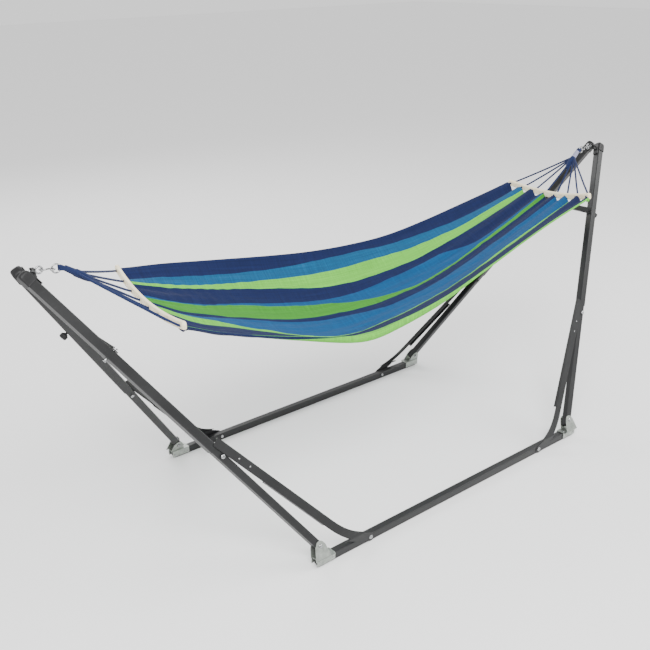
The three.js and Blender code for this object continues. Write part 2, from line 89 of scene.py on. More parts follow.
def newGroup(name, inputs, outputs):
    tree = bpy.data.node_groups.new(name, "ShaderNodeTree")
    for socketName, kind, value in inputs:
        socket = tree.interface.new_socket(socketName, in_out="INPUT", socket_type=kind)
        socket.default_value = value
    for socketName, kind in outputs:
        tree.interface.new_socket(socketName, in_out="OUTPUT", socket_type=kind)
    start = addNode(tree, "NodeGroupInput", (-900, 0))
    end = addNode(tree, "NodeGroupOutput", (700, 0))
    return tree, start.outputs, end.inputs


def surfaceGroup():
    # handling marks, tone drift and a fine grain for painted, plated and moulded parts
    tree, given, made = newGroup("handledSurface", [
        ("Tone Size", "NodeSocketFloat", 6.0),
        ("Grain Size", "NodeSocketFloat", 900.0),
        ("Scuff", "NodeSocketFloat", 0.5),
        ("Stretch", "NodeSocketVector", (1, 1, 1)),
    ], [("Tone", "NodeSocketFloat"), ("Scuffs", "NodeSocketFloat"), ("Grain", "NodeSocketFloat")])
    link = tree.links.new
    place = addNode(tree, "ShaderNodeTexCoord", (-900, 260))
    stretch = addNode(tree, "ShaderNodeVectorMath", (-700, 260), operation="MULTIPLY")
    link(place.outputs["Object"], stretch.inputs[0])
    link(given["Stretch"], stretch.inputs[1])
    tone = addNode(tree, "ShaderNodeTexNoise", (-450, 300), Detail=4.0, Roughness=0.6)
    link(stretch.outputs[0], tone.inputs["Vector"])
    link(given["Tone Size"], tone.inputs["Scale"])
    link(tone.outputs["Fac"], made["Tone"])
    grain = addNode(tree, "ShaderNodeTexNoise", (-450, 40), Detail=2.0, Roughness=0.5)
    link(place.outputs["Object"], grain.inputs["Vector"])
    link(given["Grain Size"], grain.inputs["Scale"])
    link(grain.outputs["Fac"], made["Grain"])
    marks = addNode(tree, "ShaderNodeTexNoise", (-450, -220), Scale=45.0, Detail=6.0, Roughness=0.75)
    link(stretch.outputs[0], marks.inputs["Vector"])
    narrow = addNode(tree, "ShaderNodeMapRange", (-200, -220))
    narrow.inputs["From Min"].default_value = 0.56
    narrow.inputs["From Max"].default_value = 0.74
    link(marks.outputs["Fac"], narrow.inputs["Value"])
    amount = addNode(tree, "ShaderNodeMath", (40, -220), operation="MULTIPLY")
    link(narrow.outputs["Result"], amount.inputs[0])
    link(given["Scuff"], amount.inputs[1])
    link(amount.outputs[0], made["Scuffs"])
    return tree


def threadGroup():
    # plain weave on a piece's own map, whose units are metres; its thread output is painted shade, low in the
    # hollows between threads
    tree, given, made = newGroup("plainWeave", [
        ("Threads", "NodeSocketFloat", 700.0),
        ("Picks", "NodeSocketFloat", 560.0),
        ("Slub", "NodeSocketFloat", 0.5),
    ], [("Height", "NodeSocketFloat"), ("Weave Hollow Shade", "NodeSocketFloat"), ("Slub Tone", "NodeSocketFloat")])
    link = tree.links.new
    own = addNode(tree, "ShaderNodeUVMap", (-1500, 200))
    own.uv_map = "clothMap"
    split = addNode(tree, "ShaderNodeSeparateXYZ", (-1320, 200))
    link(own.outputs["UV"], split.inputs[0])
    waves = []
    for row, (axis, count) in enumerate((("Y", "Threads"), ("X", "Picks"))):
        scaled = addNode(tree, "ShaderNodeMath", (-1100, 260 - 200 * row), operation="MULTIPLY")
        link(split.outputs[axis], scaled.inputs[0])
        link(given[count], scaled.inputs[1])
        turned = addNode(tree, "ShaderNodeMath", (-920, 260 - 200 * row), operation="MULTIPLY")
        turned.inputs[1].default_value = pi
        link(scaled.outputs[0], turned.inputs[0])
        wave = addNode(tree, "ShaderNodeMath", (-740, 260 - 200 * row), operation="SINE")
        link(turned.outputs[0], wave.inputs[0])
        waves.append(wave)
    cross = addNode(tree, "ShaderNodeMath", (-540, 260), operation="MULTIPLY")
    link(waves[0].outputs[0], cross.inputs[0])
    link(waves[1].outputs[0], cross.inputs[1])
    # painted shade: low where the weave's height is low, high on the raised threads
    lifted = addNode(tree, "ShaderNodeMapRange", (-340, 260))
    lifted.inputs["From Min"].default_value = -1.0
    link(cross.outputs[0], lifted.inputs["Value"])
    link(lifted.outputs["Result"], made["Weave Hollow Shade"])
    stretched = addNode(tree, "ShaderNodeMapping", (-1100, -260), Scale=(3.0, 260.0, 1.0))
    link(own.outputs["UV"], stretched.inputs["Vector"])
    streak = addNode(tree, "ShaderNodeTexNoise", (-880, -260), Scale=1.0, Detail=5.0, Roughness=0.65)
    link(stretched.outputs["Vector"], streak.inputs["Vector"])
    crossed = addNode(tree, "ShaderNodeMapping", (-1100, -560), Scale=(300.0, 7.0, 1.0))
    link(own.outputs["UV"], crossed.inputs["Vector"])
    weft = addNode(tree, "ShaderNodeTexNoise", (-880, -560), Scale=1.0, Detail=4.0, Roughness=0.6)
    link(crossed.outputs["Vector"], weft.inputs["Vector"])
    both = addNode(tree, "ShaderNodeMath", (-640, -380), operation="ADD")
    link(streak.outputs["Fac"], both.inputs[0])
    link(weft.outputs["Fac"], both.inputs[1])
    half = addNode(tree, "ShaderNodeMapRange", (-440, -380))
    half.inputs["From Min"].default_value = 0.7
    half.inputs["From Max"].default_value = 1.3
    link(both.outputs[0], half.inputs["Value"])
    link(half.outputs["Result"], made["Slub Tone"])
    slub = addNode(tree, "ShaderNodeMath", (-240, -200), operation="MULTIPLY")
    link(half.outputs["Result"], slub.inputs[0])
    link(given["Slub"], slub.inputs[1])
    height = addNode(tree, "ShaderNodeMath", (0, 100), operation="ADD")
    link(lifted.outputs["Result"], height.inputs[0])
    link(slub.outputs[0], height.inputs[1])
    link(height.outputs[0], made["Height"])
    return tree


handledSurface = surfaceGroup()
plainWeave = threadGroup()


def newMaterial(name):
    material = bpy.data.materials.new(name)
    material.use_nodes = True
    return material, material.node_tree, material.node_tree.nodes["Principled BSDF"]


def placeGroup(tree, group, where, **values):
    node = addNode(tree, "ShaderNodeGroup", where)
    node.node_tree = group
    for key, value in values.items():
        node.inputs[key.replace("_", " ")].default_value = value
    return node


def surfaceFinish(name, finish):
    material, tree, shader = newMaterial(name)
    link = tree.links.new
    group = placeGroup(tree, handledSurface, (-1100, 100), **finish["surface"])
    base = addNode(tree, "ShaderNodeValToRGB", (-800, 300))
    rampColours(base, [(0.3, finish["dark"]), (0.7, finish["light"])])
    link(group.outputs["Tone"], base.inputs["Fac"])
    worn = addNode(tree, "ShaderNodeMix", (-450, 300), data_type="RGBA")
    worn.inputs["B"].default_value = (*finish["scuffColour"], 1)
    link(group.outputs["Scuffs"], worn.inputs["Factor"])
    link(base.outputs["Color"], worn.inputs["A"])
    link(worn.outputs["Result"], shader.inputs["Base Color"])
    rough = addNode(tree, "ShaderNodeMapRange", (-450, 0))
    rough.inputs["To Min"].default_value = finish["roughness"][0]
    rough.inputs["To Max"].default_value = finish["roughness"][1]
    link(group.outputs["Tone"], rough.inputs["Value"])
    link(rough.outputs["Result"], shader.inputs["Roughness"])
    shader.inputs["Metallic"].default_value = finish["metallic"]
    shader.inputs["Specular IOR Level"].default_value = finish.get("specular", 0.5)
    bump = addNode(tree, "ShaderNodeBump", (-450, -250), Strength=finish["bump"], Distance=0.0004)
    link(group.outputs["Grain"], bump.inputs["Height"])
    link(bump.outputs["Normal"], shader.inputs["Normal"])
    return material


finishes = {
    "charcoalPaint": {
        "dark": (0.0095, 0.0098, 0.0102), "light": (0.017, 0.0175, 0.018), "scuffColour": (0.03, 0.031, 0.032),
        "roughness": (0.3, 0.42), "metallic": 0.0, "bump": 0.12, "specular": 0.34,
        "surface": {"Tone_Size": 5.0, "Grain_Size": 1400.0, "Scuff": 0.35},
    },
    "zincPlate": {
        "dark": (0.26, 0.285, 0.26), "light": (0.42, 0.445, 0.41), "scuffColour": (0.2, 0.21, 0.2),
        "roughness": (0.28, 0.5), "metallic": 0.85, "bump": 0.15,
        "surface": {"Tone_Size": 60.0, "Grain_Size": 500.0, "Scuff": 0.5},
    },
    "brightSteel": {
        "dark": (0.27, 0.275, 0.28), "light": (0.43, 0.435, 0.44), "scuffColour": (0.18, 0.18, 0.18),
        "roughness": (0.16, 0.32), "metallic": 1.0, "bump": 0.1,
        "surface": {"Tone_Size": 40.0, "Grain_Size": 800.0, "Scuff": 0.4},
    },
    "blackPlastic": {
        "dark": (0.006, 0.006, 0.0065), "light": (0.012, 0.012, 0.013), "scuffColour": (0.03, 0.03, 0.031),
        "roughness": (0.38, 0.55), "metallic": 0.0, "bump": 0.35, "specular": 0.3,
        "surface": {"Tone_Size": 30.0, "Grain_Size": 1800.0, "Scuff": 0.4},
    },
}
finish = {name: surfaceFinish(name, values) for name, values in finishes.items()}


def woodFinish():
    material, tree, shader = newMaterial("paleWood")
    link = tree.links.new
    place = addNode(tree, "ShaderNodeTexCoord", (-1500, 100))
    along = addNode(tree, "ShaderNodeMapping", (-1300, 100), Scale=(70.0, 5.0, 70.0))
    link(place.outputs["Object"], along.inputs["Vector"])
    grain = addNode(tree, "ShaderNodeTexNoise", (-1080, 200), Scale=1.6, Detail=7.0, Roughness=0.62,
                    Distortion=0.4)
    link(along.outputs["Vector"], grain.inputs["Vector"])
    rings = addNode(tree, "ShaderNodeTexWave", (-1080, -120), Scale=0.55, Distortion=5.0, Detail=2.0)
    link(along.outputs["Vector"], rings.inputs["Vector"])
    mixed = addNode(tree, "ShaderNodeMix", (-840, 100), data_type="FLOAT", Factor=0.1)
    link(grain.outputs["Fac"], mixed.inputs["A"])
    link(rings.outputs["Fac"], mixed.inputs["B"])
    tone = addNode(tree, "ShaderNodeValToRGB", (-600, 200))
    rampColours(tone, [
        (0.2, (0.68, 0.54, 0.32)), (0.42, (0.84, 0.73, 0.5)),
        (0.6, (0.9, 0.82, 0.61)), (0.85, (0.94, 0.89, 0.72)),
    ])
    link(mixed.outputs["Result"], tone.inputs["Fac"])
    link(tone.outputs["Color"], shader.inputs["Base Color"])
    rough = addNode(tree, "ShaderNodeMapRange", (-600, -100))
    rough.inputs["To Min"].default_value = 0.62
    rough.inputs["To Max"].default_value = 0.42
    link(mixed.outputs["Result"], rough.inputs["Value"])
    link(rough.outputs["Result"], shader.inputs["Roughness"])
    bump = addNode(tree, "ShaderNodeBump", (-600, -350), Strength=0.3, Distance=0.0004)
    link(grain.outputs["Fac"], bump.inputs["Height"])
    link(bump.outputs["Normal"], shader.inputs["Normal"])
    return material


finish["paleWood"] = woodFinish()

clothColours = {
    "navy": (0.0055, 0.0125, 0.06), "blue": (0.006, 0.066, 0.185), "teal": (0.006, 0.08, 0.185),
    "green": (0.045, 0.25, 0.024), "lime": (0.13, 0.49, 0.05),
}
# stripes from the near edge to the far edge, as places on the stripe map
stripes = [
    (0.0, "lime"), (0.1, "navy"), (0.2, "lime"), (0.26, "blue"), (0.42, "navy"), (0.5, "green"),
    (0.58, "blue"), (0.64, "navy"), (0.74, "lime"), (0.84, "teal"), (0.92, "navy"),
]
# where each stripe starts across the bed, at stations from the left bar to the right
stripeStations = [0.0, 0.12, 0.2, 0.3, 0.4, 0.5, 0.6, 0.7, 0.8, 0.9, 1.0]
stripeStarts = [
    [0.0, 0.0, 0.05, 0.14, 0.07, 0.01, 0.0, 0.01, 0.0, 0.0, 0.0],
    [0.37, 0.365, 0.33, 0.26, 0.21, 0.19, 0.185, 0.2, 0.21, 0.2, 0.2],
    [0.46, 0.44, 0.37, 0.275, 0.215, 0.195, 0.2, 0.22, 0.25, 0.23, 0.225],
    [0.515, 0.508, 0.5, 0.492, 0.485, 0.41, 0.4, 0.42, 0.44, 0.41, 0.4],
    [0.545, 0.542, 0.533, 0.525, 0.525, 0.495, 0.482, 0.508, 0.54, 0.535, 0.53],
    [0.665, 0.665, 0.68, 0.663, 0.635, 0.55, 0.5, 0.517, 0.56, 0.555, 0.56],
    [0.665, 0.667, 0.69, 0.692, 0.68, 0.68, 0.692, 0.69, 0.6, 0.58, 0.58],
    [0.82, 0.817, 0.81, 0.8, 0.77, 0.758, 0.758, 0.75, 0.75, 0.748, 0.74],
    [0.84, 0.842, 0.85, 0.858, 0.858, 0.858, 0.858, 0.84, 0.825, 0.82, 0.8],
    [0.905, 0.91, 0.915, 0.93, 0.945, 0.95, 0.938, 0.92, 0.9, 0.89, 0.88],
]


def stripePlace(across, along):
    along = min(max(along, 0), 1)
    i = max(j for j, station in enumerate(stripeStations[:-1]) if station <= along)
    share = (along - stripeStations[i]) / (stripeStations[i + 1] - stripeStations[i])
    edges = [0.0] + [row[i] * (1 - share) + row[i + 1] * share for row in stripeStarts] + [1.0]
    marks = [start for start, colour in stripes] + [1.0]
    for low, high, first, last in zip(edges, edges[1:], marks, marks[1:]):
        if across <= high:
            return first + (last - first) * (across - low) / max(high - low, 1e-4)
    return 1.0


def clothFinish(name):
    material, tree, shader = newMaterial(name)
    link = tree.links.new
    weave = placeGroup(tree, plainWeave, (-1100, -100))
    own = addNode(tree, "ShaderNodeUVMap", (-1700, 400))
    own.uv_map = "stripeMap"
    split = addNode(tree, "ShaderNodeSeparateXYZ", (-1500, 400))
    link(own.outputs["UV"], split.inputs[0])
    striped = addNode(tree, "ShaderNodeValToRGB", (-1100, 400))
    rampColours(striped, [(start, clothColours[colour]) for start, colour in stripes], "CONSTANT")
    link(split.outputs["Y"], striped.inputs["Fac"])
    bright = addNode(tree, "ShaderNodeMix", (-500, 300), data_type="RGBA", blend_type="MULTIPLY")
    bright.inputs["Factor"].default_value = 1.0
    shade = addNode(tree, "ShaderNodeValToRGB", (-800, 150))
    rampColours(shade, [(0.0, (0.66,)), (0.5, (0.95,)), (1.0, (1.3,))])
    link(weave.outputs["Slub Tone"], shade.inputs["Fac"])
    link(striped.outputs["Color"], bright.inputs["A"])
    link(shade.outputs["Color"], bright.inputs["B"])
    threads = addNode(tree, "ShaderNodeMix", (-260, 300), data_type="RGBA", blend_type="MULTIPLY")
    threads.inputs["Factor"].default_value = 0.5
    # painted shade: the cloth colour drops to 0.7 in the weave's hollows and stays full on the raised threads
    weaveHollowShade = addNode(tree, "ShaderNodeValToRGB", (-800, -250))
    rampColours(weaveHollowShade, [(0.0, (0.7,)), (1.0, (1.0,))])
    link(weave.outputs["Weave Hollow Shade"], weaveHollowShade.inputs["Fac"])
    link(bright.outputs["Result"], threads.inputs["A"])
    link(weaveHollowShade.outputs["Color"], threads.inputs["B"])
    link(threads.outputs["Result"], shader.inputs["Base Color"])
    shader.inputs["Roughness"].default_value = 0.9
    shader.inputs["Sheen Weight"].default_value = 0.015
    shader.inputs["Sheen Roughness"].default_value = 0.5
    shader.inputs["Specular IOR Level"].default_value = 0.2
    bump = addNode(tree, "ShaderNodeBump", (-260, -250), Strength=0.45, Distance=0.0006)
    link(weave.outputs["Height"], bump.inputs["Height"])
    link(bump.outputs["Normal"], shader.inputs["Normal"])
    return material


finish["stripedCloth"] = clothFinish("stripedCloth")


def ropeFinish(name, dark, light):
    material, tree, shader = newMaterial(name)
    link = tree.links.new
    own = addNode(tree, "ShaderNodeUVMap", (-1500, 100))
    own.uv_map = "clothMap"
    fibres = addNode(tree, "ShaderNodeMapping", (-1300, 100), Scale=(900.0, 260.0, 1.0), Rotation=(0, 0, 0.6))
    link(own.outputs["UV"], fibres.inputs["Vector"])
    fuzz = addNode(tree, "ShaderNodeTexNoise", (-1080, 100), Scale=1.0, Detail=5.0, Roughness=0.7)
    link(fibres.outputs["Vector"], fuzz.inputs["Vector"])
    tone = addNode(tree, "ShaderNodeValToRGB", (-800, 200))
    rampColours(tone, [(0.25, dark), (0.75, light)])
    link(fuzz.outputs["Fac"], tone.inputs["Fac"])
    link(tone.outputs["Color"], shader.inputs["Base Color"])
    shader.inputs["Roughness"].default_value = 0.88
    shader.inputs["Sheen Weight"].default_value = 0.08
    shader.inputs["Specular IOR Level"].default_value = 0.2
    bump = addNode(tree, "ShaderNodeBump", (-800, -200), Strength=0.5, Distance=0.0005)
    link(fuzz.outputs["Fac"], bump.inputs["Height"])
    link(bump.outputs["Normal"], shader.inputs["Normal"])
    return material


finish["navyRope"] = ropeFinish("navyRope", (0.005, 0.009, 0.04), (0.014, 0.026, 0.09))
finish["greyTwine"] = ropeFinish("greyTwine", (0.17, 0.17, 0.26), (0.36, 0.36, 0.48))
print("finishes made")

# shaping


def addPiece(name, bm, material, body, sharpAngle=40):
    mesh = bpy.data.meshes.new(name)
    bm.to_mesh(mesh)
    bm.free()
    mesh.materials.append(finish[material])
    mesh.polygons.foreach_set("use_smooth", [True] * len(mesh.polygons))
    mesh.set_sharp_from_angle(angle=radians(sharpAngle))
    piece = bpy.data.objects.new(name, mesh)
    scene.collection.objects.link(piece)
    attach(piece, body)
    return piece


def close(bm):
    bmesh.ops.remove_doubles(bm, verts=bm.verts, dist=1e-6)
    bmesh.ops.recalc_face_normals(bm, faces=bm.faces)
    return bm


def mapGrid(bm, across, along, place, mapSize=(1.0, 1.0)):
    # a flat grid whose points are moved to place(around or across, along), with a map in metres
    layer = bm.loops.layers.uv.get("clothMap") or bm.loops.layers.uv.new("clothMap")
    made = bmesh.ops.create_grid(bm, x_segments=across, y_segments=along, size=0.5)
    faces = {face for vert in made["verts"] for face in vert.link_faces}
    for face in faces:
        for loop in face.loops:
            spot = loop.vert.co
            loop[layer].uv = ((spot.x + 0.5) * mapSize[0], (spot.y + 0.5) * mapSize[1])
    for vert in made["verts"]:
        vert.co = place(vert.co.x + 0.5, vert.co.y + 0.5)
    return made["verts"]


def rollTube(bm, path, radius, around, mapSize=None, closed=False, roundEnds=0.0):
    # a tube along points, whose radius is a number or a function of (turn, distance, length)
    steps = len(path) - 1
    lengths = [0.0]
    for first, second in zip(path, path[1:]):
        lengths.append(lengths[-1] + (second - first).length)
    total = lengths[-1]
    frames = []
    side = None
    for i, point in enumerate(path):
        if closed:
            ahead = (path[(i + 1) % steps] - path[(i - 1) % steps]).normalized()
        else:
            ahead = (path[min(i + 1, steps)] - path[max(i - 1, 0)]).normalized()
        if side is None:
            start = Vector((0, 0, 1)) if abs(ahead.z) < 0.9 else Vector((1, 0, 0))
            side = ahead.cross(start).normalized()
        side = (side - ahead * side.dot(ahead)).normalized()
        frames.append((point, ahead, side, ahead.cross(side)))
    if closed:
        frames[-1] = frames[0]

    def place(turn, along):
        i = round(along * steps)
        point, ahead, side, up = frames[i]
        size = radius(turn, lengths[i], total) if callable(radius) else radius
        angle = 2 * pi * turn
        spot = point + side * (size * cos(angle)) + up * (size * sin(angle))
        if roundEnds:
            ends = min(lengths[i], total - lengths[i])
            if ends < roundEnds:
                squeeze = sqrt(max(0.0, 1 - (1 - ends / roundEnds) ** 2))
                spot = point + (spot - point) * max(squeeze, 0.02)
        return spot

    size = mapSize or (2 * pi * 0.005, total)
    verts = mapGrid(bm, around, steps, place, size)
    bmesh.ops.remove_doubles(bm, verts=verts, dist=1e-6)
    if not closed:
        rims = [edge for edge in bm.edges if edge.is_boundary]
        bmesh.ops.holes_fill(bm, edges=rims, sides=0)
    return bm


def smoothPath(points, count):
    # evenly spaced points on a smooth curve through the given ones
    spots = [Vector(p) for p in points]
    ends = [spots[0] * 2 - spots[1], *spots, spots[-1] * 2 - spots[-2]]
    fine = []
    for i in range(1, len(ends) - 2):
        a, b, c, d = ends[i - 1:i + 3]
        for step in range(24):
            t = step / 24
            fine.append((b * 2 + (c - a) * t + (a * 2 - b * 5 + c * 4 - d) * t * t
                         + (b * 3 - a - c * 3 + d) * t ** 3) * 0.5)
    fine.append(spots[-1])
    lengths = [0.0]
    for first, second in zip(fine, fine[1:]):
        lengths.append(lengths[-1] + (second - first).length)
    made = []
    j = 0
    for i in range(count + 1):
        want = lengths[-1] * i / count
        while j < len(fine) - 2 and lengths[j + 1] < want:
            j += 1
        share = (want - lengths[j]) / max(lengths[j + 1] - lengths[j], 1e-9)
        made.append(fine[j].lerp(fine[j + 1], min(max(share, 0), 1)))
    return made


def turnTo(axis):
    # the turn that brings the z axis onto this one
    return Vector((0, 0, 1)).rotation_difference(axis).to_matrix().to_4x4()


def turned(bm, profile, origin, axis, sides=28):
    # a profile of (radius, height) pairs, spun about an axis
    origin, axis = Vector(origin), Vector(axis).normalized()
    verts = [bm.verts.new((radius, 0, height)) for radius, height in profile]
    edges = [bm.edges.new(pair) for pair in zip(verts, verts[1:])]
    before = set(bm.verts) - set(verts)
    bmesh.ops.spin(bm, geom=verts + edges, cent=(0, 0, 0), axis=(0, 0, 1), angle=2 * pi, steps=sides,
                   use_merge=True)
    made = [vert for vert in bm.verts if vert not in before]
    bmesh.ops.transform(bm, matrix=Matrix.Translation(origin) @ turnTo(axis), verts=made)
    return made


def soften(bm, edges, offset, segments):
    bmesh.ops.bevel(bm, geom=edges, offset=offset, affect="EDGES", segments=segments, profile=0.5, material=-1)


def nut(bm, origin, axis, radius, height):
    # a hexagon nut with softened corners
    origin, axis = Vector(origin), Vector(axis).normalized()
    place = Matrix.Translation(origin + axis * height / 2) @ turnTo(axis)
    made = bmesh.ops.create_cone(bm, cap_ends=True, segments=6, radius1=radius, radius2=radius, depth=height,
                                 matrix=place)
    edges = {edge for vert in made["verts"] for edge in vert.link_edges}
    soften(bm, list(edges), radius * 0.09, 2)


# where the legs run, in metres

stand = {
    "pinSpan": 1.368, "railSpacing": 0.98, "apexSpan": 2.85, "apexHeight": 1.113, "apexOffset": 0.022,
    "footHeight": 0.042, "midBolt": 0.532, "pin": 0.034, "braceBoltX": 0.48, "braceBoltZ": 0.018,
    "spreader": 0.746,
}
sides = {"left": -1, "right": 1}
halves = {"front": -1, "rear": 1}


def legFrame(endSide, halfSide):
    foot = Vector((endSide * stand["pinSpan"] / 2, halfSide * stand["railSpacing"] / 2, stand["footHeight"]))
    top = Vector((endSide * stand["apexSpan"] / 2, halfSide * stand["apexOffset"], stand["apexHeight"]))
    along = top - foot
    length = along.length
    along.normalize()
    outward = Vector((1, 0, 0)).cross(along).normalized()
    if outward.y * halfSide < 0:
        outward.negate()
    turn = Matrix((outward, along.cross(outward), along)).transposed().to_4x4()
    return {"foot": foot, "along": along, "outward": outward, "length": length, "turn": turn}


# the wooden bars' line, and the bed's long lines

bars = {
    "left": {"x": -1.014, "z": 0.949, "yaw": 8.0, "tilt": 1.5, "bowOut": 0.010, "bowDown": 0.030},
    "right": {"x": 1.074, "z": 0.958, "yaw": 16.0, "tilt": -6.0, "bowOut": 0.025, "bowDown": 0.031},
}
barShape = {"length": 0.62, "height": 0.028, "thickness": 0.016, "cords": 8, "spread": 0.92,
            "halfHole": 0.0095}


def barPoint(endName, t):
    bar = bars[endName]
    yaw, tilt = radians(bar["yaw"]), radians(bar["tilt"])
    run = Vector((sin(yaw) * cos(tilt), cos(yaw) * cos(tilt), sin(tilt))) * (t * barShape["length"] / 2)
    bow = 1 - t * t
    return Vector((bar["x"] + sides[endName] * bar["bowOut"] * bow, 0, bar["z"] - bar["bowDown"] * bow)) + run


# the bed's long lines as (length, height), and how its cloth is shaped

bedShape = {
    "near": [(-1.034, 0.921), (-0.870, 0.857), (-0.614, 0.777), (-0.314, 0.700), (-0.108, 0.712),
             (0.118, 0.748), (0.357, 0.814), (0.606, 0.888), (0.784, 0.936), (0.966, 0.975)],
    "middle": [(-0.985, 0.893), (-0.850, 0.828), (-0.640, 0.755), (-0.430, 0.692), (-0.215, 0.655), (0.0, 0.655),
               (0.250, 0.680), (0.470, 0.722), (0.690, 0.782), (0.890, 0.850), (1.052, 0.906)],
    "far": [(-0.946, 0.943), (-0.800, 0.930), (-0.598, 0.900), (-0.307, 0.856), (-0.100, 0.830),
            (0.120, 0.815), (0.330, 0.814), (0.560, 0.836), (0.849, 0.876), (1.120, 0.914)],
    "halfWidth": 0.292, "flap": 0.105, "hem": 0.0045, "scallop": 0.015, "gather": 0.008,
    "length": 2.07, "hemShare": 0.006, "endReach": 0.07, "ease": 0.035, "thickness": 0.0011,
}
bedLines = {name: smoothPath([(x, 0, z) for x, z in bedShape[name]], 400)
            for name in ("near", "middle", "far")}


def lineAt(name, along):
    line = bedLines[name]
    spot = min(max(along, 0), 1) * (len(line) - 1)
    i = min(int(spot), len(line) - 2)
    return line[i].lerp(line[i + 1], spot - i)


def bedPoint(across, along):
    near, middle, far = (lineAt(name, along) for name in ("near", "middle", "far"))
    spot = near * ((1 - across) * (1 - 2 * across)) + middle * (4 * across * (1 - across))
    spot += far * (across * (2 * across - 1))
    spot.y = (2 * across - 1) * bedShape["halfWidth"]
    return spot


def cordPlace(i):
    # where cord i passes the bar, from -1 to 1
    return -barShape["spread"] + 2 * barShape["spread"] * i / (barShape["cords"] - 1)


def cordShare(i):
    # where cord i meets the cloth's end, from 0 to 1
    return 0.012 + 0.976 * i / (barShape["cords"] - 1)


def clothEnd(across, endName):
    # the cloth's end reaches for the bar at each cord and falls back between them
    gaps = barShape["cords"] - 1
    share = (across - cordShare(0)) / (cordShare(gaps) - cordShare(0))
    pull = abs(cos(pi * gaps * share)) ** 0.8
    end = bedPoint(across, 0 if endName == "left" else 1)
    bar = barPoint(endName, (2 * across - 1) * 0.94)
    towards = bar - end
    towards.y = 0
    reach = max(towards.length - 0.0135, 0.0)
    return end + towards.normalized() * (reach - bedShape["scallop"] * (1 - pull))


# cords: from the whipped bundle, through the bar and into the cloth's end

cordShape = {"radius": 0.004, "pitch": 0.026, "strands": 3, "sides": 14, "bundle": 0.0465,
             "sag": 0.002}
ringShape = {"x": 1.313, "z": 1.106, "radius": 0.014, "wire": 0.0026}


def ropeRadius(turn, distance, total):
    lay = turn - distance / cordShape["pitch"]
    lobe = abs(cos(pi * cordShape["strands"] * lay))
    return cordShape["radius"] * (0.8 + 0.2 * lobe)


def bundleFrame(endName):
    start = Vector((sides[endName] * 1.292, 0, ringShape["z"]))
    aim = (barPoint(endName, 0) - start).normalized()
    return start, aim


def makeCords(endName):
    side = sides[endName]
    start, aim = bundleFrame(endName)
    for i in range(barShape["cords"]):
        t = cordPlace(i)
        leave = start + aim * cordShape["bundle"] + Vector((0, 0.006 * t, 0.0015 * (i % 2)))
        hole = barPoint(endName, t)
        outer = hole + Vector((side * barShape["halfHole"], 0, 0))
        inner = hole - Vector((side * barShape["halfHole"], 0, 0))
        tied = clothEnd(cordShare(i), endName)
        sag = Vector((0, 0, -cordShape["sag"]))
        spots = [leave, leave.lerp(outer, 0.35) + sag, leave.lerp(outer, 0.7) + sag, outer, inner, tied]
        route = smoothPath(spots, 200)
        length = sum((b - a).length for a, b in zip(route, route[1:]))
        bm = bmesh.new()
        rollTube(bm, route, ropeRadius, cordShape["sides"], (0.019, length))
        cordPiece = addPiece(f"cord_{endName}_{i + 1}", close(bm), "navyRope", "hammock", 80)
        if i == 0:
            firstCord = cordPiece
    return firstCord


def makeBundle(endName):
    # loops round the ring, the whipping, and the swelling where the cords part
    side = sides[endName]
    start, aim = bundleFrame(endName)
    bm = bmesh.new()
    whipRoute = smoothPath([start + aim * 0.006, start + aim * 0.022, start + aim * 0.046], 150)

    def wound(turn, distance, total):
        body = 0.0088 + 0.0016 * distance / total
        shoulder = min(1.0, 0.55 + min(distance, total - distance) / 0.004)
        return body * shoulder + 0.0006 * abs(sin(pi * (distance / 0.0031 + turn)))

    rollTube(bm, whipRoute, wound, 30, (0.06, 0.04))
    material = "greyTwine" if endName == "right" else "navyRope"
    addPiece(f"whipping_{endName}", close(bm), material, "hammock", 80)
    inner = Vector((side * (ringShape["x"] - ringShape["radius"]), 0, ringShape["z"]))
    reach = 0.0058
    for j, lift in enumerate((-0.0055, 0.0, 0.0055)):
        spots = []
        for step in range(9):
            angle = -pi / 2 + pi * step / 8
            spots.append(inner + Vector((side * (reach * cos(angle) - 0.0002), reach * sin(angle), lift)))
        back = start + aim * 0.012
        spots = [back + Vector((0, -0.0045, lift * 0.6)), *spots, back + Vector((0, 0.0045, lift * 0.6))]
        bm = bmesh.new()
        rollTube(bm, smoothPath(spots, 70), lambda *place: ropeRadius(*place) * 0.9, 12)
        addPiece(f"ring_loop_{endName}_{j + 1}", close(bm), "navyRope", "hammock", 80)
    bm = bmesh.new()
    swell = smoothPath([start + aim * 0.04, start + aim * 0.07, start + aim * 0.115], 80)

    def strandy(turn, distance, total):
        share = distance / total
        body = (0.0122 + 0.0022 * sin(pi * share)) * (1 - 0.4 * share ** 2)
        return body * (0.9 + 0.1 * abs(cos(4 * pi * (turn - 0.3 * share))))

    rollTube(bm, swell, strandy, 48, (0.06, 0.05), roundEnds=0.008)
    addPiece(f"cord_bundle_{endName}", close(bm), "navyRope", "hammock", 80)


for endName in sides:
    firstCord = makeCords(endName)
    makeBundle(endName)
    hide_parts(f"cords_{endName}")
print("cords laid")

# the cloth: three long lines, scalloped ends rolled round the cords, and a near edge that hangs down

clothGrid = {"across": 150, "along": 420}


def fold(share, start, end):
    share = min(max((share - start) / (end - start), 0), 1)
    return share * share * (3 - 2 * share)


